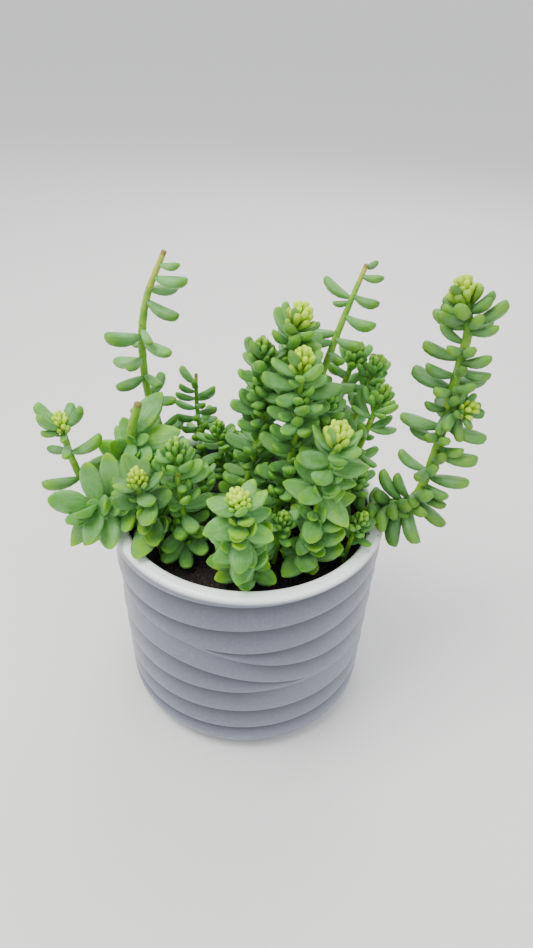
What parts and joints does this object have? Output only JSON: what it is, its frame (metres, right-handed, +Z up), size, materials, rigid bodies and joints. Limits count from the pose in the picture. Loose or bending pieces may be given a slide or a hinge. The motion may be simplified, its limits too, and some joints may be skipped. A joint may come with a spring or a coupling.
{
  "type": "potted burro's tail plant",
  "caption": "Trailing succulent with plump spindle leaves on upright and leaning stems, rooted in soil in a round glazed pot with wavy lapped ribs.",
  "frame": {"origin": "centre of the pot's flat underside, on the surface that it rests on", "axes": "+Z up along the pot's axis, -Y towards the viewer in the picture, +X to the viewer's right"},
  "size_m": [0.1956, 0.13, 0.2224],
  "materials": {
    "pot": "light grey satin glaze, glossy white lip",
    "soil": "loose dark potting mix, matte",
    "stem_back_left_tall": "fleshy blue-green leaves with a waxy bloom on a yellow-green stem",
    "stem_back_left_short": "fleshy blue-green leaves with a waxy bloom on a yellow-green stem",
    "stem_left_edge": "fleshy blue-green leaves with a waxy bloom on a yellow-green stem",
    "stem_left_front": "fleshy blue-green leaves with a waxy bloom on a yellow-green stem",
    "stem_left_rosette": "fleshy blue-green leaves with a waxy bloom on a yellow-green stem",
    "stem_left_broken": "fleshy blue-green leaves with a waxy bloom on a yellow-green stem",
    "stem_middle_left": "fleshy blue-green leaves with a waxy bloom on a yellow-green stem",
    "stem_front": "fleshy blue-green leaves with a waxy bloom on a yellow-green stem",
    "stem_front_right": "fleshy blue-green leaves with a waxy bloom on a yellow-green stem",
    "stem_centre_tall": "fleshy blue-green leaves with a waxy bloom on a yellow-green stem",
    "stem_centre": "fleshy blue-green leaves with a waxy bloom on a yellow-green stem",
    "stem_back_right_tall": "fleshy blue-green leaves with a waxy bloom on a yellow-green stem",
    "stem_right_tall": "fleshy blue-green leaves with a waxy bloom on a yellow-green stem",
    "stem_back_right_a": "fleshy blue-green leaves with a waxy bloom on a yellow-green stem",
    "stem_back_right_b": "fleshy blue-green leaves with a waxy bloom on a yellow-green stem",
    "stem_back_right_c": "fleshy blue-green leaves with a waxy bloom on a yellow-green stem",
    "stem_centre_right": "fleshy blue-green leaves with a waxy bloom on a yellow-green stem",
    "stem_centre_left": "fleshy blue-green leaves with a waxy bloom on a yellow-green stem",
    "shoot_1": "fleshy blue-green leaves with a waxy bloom on a yellow-green stem",
    "shoot_2": "fleshy blue-green leaves with a waxy bloom on a yellow-green stem",
    "shoot_3": "fleshy blue-green leaves with a waxy bloom on a yellow-green stem",
    "shoot_4": "fleshy blue-green leaves with a waxy bloom on a yellow-green stem",
    "shoot_5": "fleshy blue-green leaves with a waxy bloom on a yellow-green stem",
    "shoot_6": "fleshy blue-green leaves with a waxy bloom on a yellow-green stem",
    "shoot_7": "fleshy blue-green leaves with a waxy bloom on a yellow-green stem",
    "shoot_8": "fleshy blue-green leaves with a waxy bloom on a yellow-green stem"
  },
  "bodies": {
    "root": {"pot": "pot", "soil": "soil", "stem_back_left_tall": "stem_back_left_tall", "stem_back_left_short": "stem_back_left_short", "stem_left_edge": "stem_left_edge", "stem_left_front": "stem_left_front", "stem_left_rosette": "stem_left_rosette", "stem_left_broken": "stem_left_broken", "stem_middle_left": "stem_middle_left", "stem_front": "stem_front", "stem_front_right": "stem_front_right", "stem_centre_tall": "stem_centre_tall", "stem_centre": "stem_centre", "stem_back_right_tall": "stem_back_right_tall", "stem_right_tall": "stem_right_tall", "stem_back_right_a": "stem_back_right_a", "stem_back_right_b": "stem_back_right_b", "stem_back_right_c": "stem_back_right_c", "stem_centre_right": "stem_centre_right", "stem_centre_left": "stem_centre_left", "shoot_1": "shoot_1", "shoot_2": "shoot_2", "shoot_3": "shoot_3", "shoot_4": "shoot_4", "shoot_5": "shoot_5", "shoot_6": "shoot_6", "shoot_7": "shoot_7", "shoot_8": "shoot_8"}
  },
  "joints": []
}
